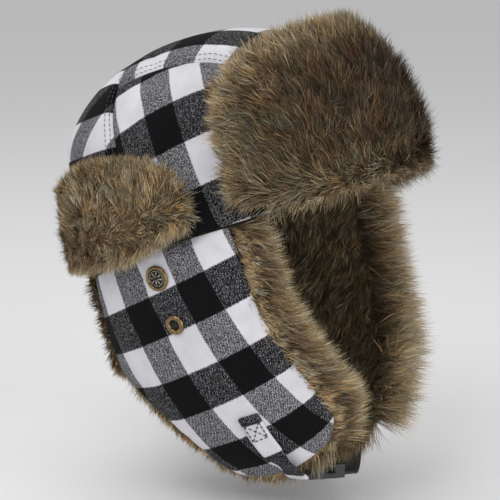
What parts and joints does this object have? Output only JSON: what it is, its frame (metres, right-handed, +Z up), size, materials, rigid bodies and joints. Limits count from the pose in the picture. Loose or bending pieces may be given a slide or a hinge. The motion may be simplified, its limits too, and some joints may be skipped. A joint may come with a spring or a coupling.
{
  "type": "trapper hat",
  "caption": "Check flannel trapper hat with padded crown, turned-up fur visor and rear cuff, fur-lined ear flaps, press studs and a side-release chin buckle.",
  "frame": {"origin": "centre of the head opening, on the headband", "axes": "+Z up, -Y towards the face, +X towards the wearer's left; the headband is pitched back 19 degrees, as the hat is worn"},
  "size_m": [0.2142, 0.2559, 0.3152],
  "materials": {
    "check_flannel": "brushed black and white buffalo check flannel",
    "faux_fur": "long-pile brown and grey faux fur",
    "wadding": "polyester wadding",
    "quilted_lining": "quilted black satin",
    "antique_brass": "antique brass",
    "black_plastic": "satin moulded acetal",
    "black_webbing": "ribbed nylon webbing"
  },
  "bodies": {
    "crown": {"crown_top_strip": "check_flannel", "crown_side_right": "check_flannel", "crown_side_left": "check_flannel", "crown_back_panel": "check_flannel", "crown_wadding": "wadding", "crown_lining": "quilted_lining", "sweatband": "quilted_lining", "neck_curtain_shell": "check_flannel", "neck_curtain_fur": "faux_fur"},
    "visor": {"visor_backing": "check_flannel", "visor_stiffener": "wadding", "visor_fur": "faux_fur"},
    "rear_cuff": {"cuff_backing": "check_flannel", "cuff_stiffener": "wadding", "cuff_fur": "faux_fur"},
    "ear_flap_right": {"flap_shell_right": "check_flannel", "flap_wadding_right": "wadding", "flap_fur_right": "faux_fur", "press_stud_cap_right": "antique_brass", "press_stud_back_right": "antique_brass", "eyelet_stud_right": "antique_brass", "eyelet_back_right": "antique_brass", "chin_tab_right": "check_flannel", "buckle_socket": "black_plastic"},
    "ear_flap_left": {"flap_shell_left": "check_flannel", "flap_wadding_left": "wadding", "flap_fur_left": "faux_fur", "press_stud_cap_left": "antique_brass", "press_stud_back_left": "antique_brass", "eyelet_stud_left": "antique_brass", "eyelet_back_left": "antique_brass", "chin_webbing_left": "black_webbing"},
    "buckle_plug": {"buckle_plug": "black_plastic"},
    "release_arm_front": {"release_arm_front": "black_plastic"},
    "release_arm_rear": {"release_arm_rear": "black_plastic"}
  },
  "joints": [
    {"name": "visor_fold", "type": "hinge", "parent": "crown", "child": "visor", "pos_m": [0, -0.10717, 0.03584], "axis": [1, 0, 0], "range_deg": [0, 80]},
    {"name": "rear_cuff_fold", "type": "hinge", "parent": "crown", "child": "rear_cuff", "pos_m": [0, 0.10983, -0.03887], "axis": [-1, 0, 0], "range_deg": [0, 80]},
    {"name": "ear_flap_right_fold", "type": "hinge", "parent": "crown", "child": "ear_flap_right", "pos_m": [-0.106, -0.00423, -0.01229], "axis": [0, 0.9455, -0.3256], "range_deg": [0, 165]},
    {"name": "ear_flap_left_fold", "type": "hinge", "parent": "crown", "child": "ear_flap_left", "pos_m": [0.106, -0.00423, -0.01229], "axis": [0, -0.9455, 0.3256], "range_deg": [0, 165]},
    {"name": "buckle_plug_slide", "type": "slide", "parent": "ear_flap_left", "child": "buckle_plug", "axis": [0.9652, -0.07, -0.252], "range_m": [0, 0.02]},
    {"name": "release_arm_front_press", "type": "hinge", "parent": "buckle_plug", "child": "release_arm_front", "pos_m": [-0.00455, -0.06689, -0.16612], "axis": [-0.2571, -0.0764, -0.9634], "range_deg": [0, 7], "stiffness_Nm_per_rad": 0.05},
    {"name": "release_arm_rear_press", "type": "hinge", "parent": "buckle_plug", "child": "release_arm_rear", "pos_m": [-0.00378, -0.05097, -0.16759], "axis": [0.2571, 0.0764, 0.9634], "range_deg": [0, 7], "stiffness_Nm_per_rad": 0.05}
  ],
  "couplings": [
    {"joint": "release_arm_rear_press", "follows": "release_arm_front_press", "ratio": 1}
  ]
}
